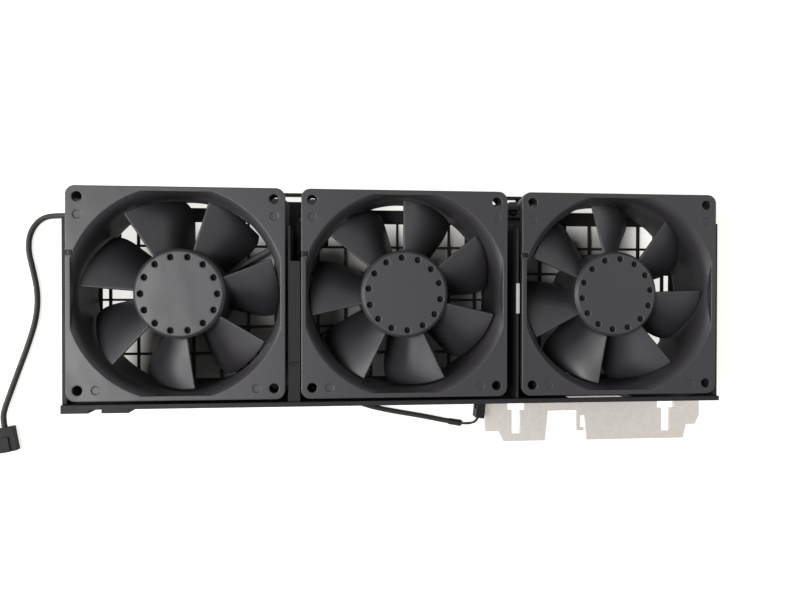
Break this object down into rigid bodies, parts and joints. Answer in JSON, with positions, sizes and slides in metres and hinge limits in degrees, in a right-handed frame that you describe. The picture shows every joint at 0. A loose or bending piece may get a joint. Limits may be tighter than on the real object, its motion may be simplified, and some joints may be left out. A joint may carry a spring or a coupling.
{
  "type": "server cooling fan assembly",
  "caption": "Row of axial server fans in a black moulded tray with grid guards, sheet-metal keyhole bracket and plug-in leads; each bladed rotor spins freely on its own ball bearings.",
  "frame": {"origin": "on the middle fan's axis, in the rear face of the tray and its guards", "axes": "+X along the row of fans towards the bracket, +Y across it away from the bracket, +Z along the fans' axes towards the intake side"},
  "size_m": [0.3486, 0.1243, 0.04],
  "materials": {
    "tray_plastic": "fine grained black moulding",
    "frame_plastic": "satin black moulding",
    "impeller_plastic": "satin black moulding",
    "galvanised_sheet": "dull zinc-coated sheet",
    "screw_steel": "zinc plated",
    "spring_steel": "bright spring steel",
    "bearing_steel": "ground",
    "sleeve_brass": "turned",
    "core_steel": "lacquered laminations",
    "winding_copper": "enamelled wire",
    "board_green": "solder-masked laminate",
    "yoke_steel": "drawn cup",
    "magnet_ferrite": "bonded ferrite",
    "lead_jacket": "smooth sleeve",
    "wire_insulation": "smooth insulation",
    "plug_plastic": "satin moulding",
    "terminal_metal": "tinned"
  },
  "bodies": {
    "tray": {"fan_tray": "tray_plastic", "keyhole_bracket": "galvanised_sheet", "bracket_screws": "screw_steel", "partition_clip": "spring_steel", "left_rear_guard": "tray_plastic", "left_fan_frame": "frame_plastic", "left_bearing_sleeve": "sleeve_brass", "left_bearing_outer_rings": "bearing_steel", "left_stator_core": "core_steel", "left_stator_coils": "winding_copper", "left_circuit_board": "board_green", "middle_rear_guard": "tray_plastic", "middle_fan_frame": "frame_plastic", "middle_bearing_sleeve": "sleeve_brass", "middle_bearing_outer_rings": "bearing_steel", "middle_stator_core": "core_steel", "middle_stator_coils": "winding_copper", "middle_circuit_board": "board_green", "right_rear_guard": "tray_plastic", "right_fan_frame": "frame_plastic", "right_bearing_sleeve": "sleeve_brass", "right_bearing_outer_rings": "bearing_steel", "right_stator_core": "core_steel", "right_stator_coils": "winding_copper", "right_circuit_board": "board_green", "left_lead_held": "lead_jacket", "left_lead": "lead_jacket", "left_plug": "plug_plastic", "left_plug_terminals": "terminal_metal", "middle_lead_held": "lead_jacket", "middle_lead": "lead_jacket", "middle_lead_wires": "wire_insulation", "middle_plug": "plug_plastic", "middle_plug_terminals": "terminal_metal"},
    "left_rotor": {"left_fan_impeller": "impeller_plastic", "left_rotor_yoke": "yoke_steel", "left_rotor_magnet": "magnet_ferrite", "left_rotor_shaft": "bearing_steel", "left_bearing_inner_rings": "bearing_steel", "left_preload_spring": "spring_steel", "left_shaft_clip": "spring_steel"},
    "middle_rotor": {"middle_fan_impeller": "impeller_plastic", "middle_rotor_yoke": "yoke_steel", "middle_rotor_magnet": "magnet_ferrite", "middle_rotor_shaft": "bearing_steel", "middle_bearing_inner_rings": "bearing_steel", "middle_preload_spring": "spring_steel", "middle_shaft_clip": "spring_steel"},
    "right_rotor": {"right_fan_impeller": "impeller_plastic", "right_rotor_yoke": "yoke_steel", "right_rotor_magnet": "magnet_ferrite", "right_rotor_shaft": "bearing_steel", "right_bearing_inner_rings": "bearing_steel", "right_preload_spring": "spring_steel", "right_shaft_clip": "spring_steel"}
  },
  "joints": [
    {"name": "left_rotor_spin", "type": "hinge", "parent": "tray", "child": "left_rotor", "pos_m": [-0.099, 0, 0], "axis": [0, 0, 1], "continuous": true},
    {"name": "middle_rotor_spin", "type": "hinge", "parent": "tray", "child": "middle_rotor", "pos_m": [0, 0, 0], "axis": [0, 0, 1], "continuous": true},
    {"name": "right_rotor_spin", "type": "hinge", "parent": "tray", "child": "right_rotor", "pos_m": [0.099, 0, 0], "axis": [0, 0, 1], "continuous": true}
  ]
}
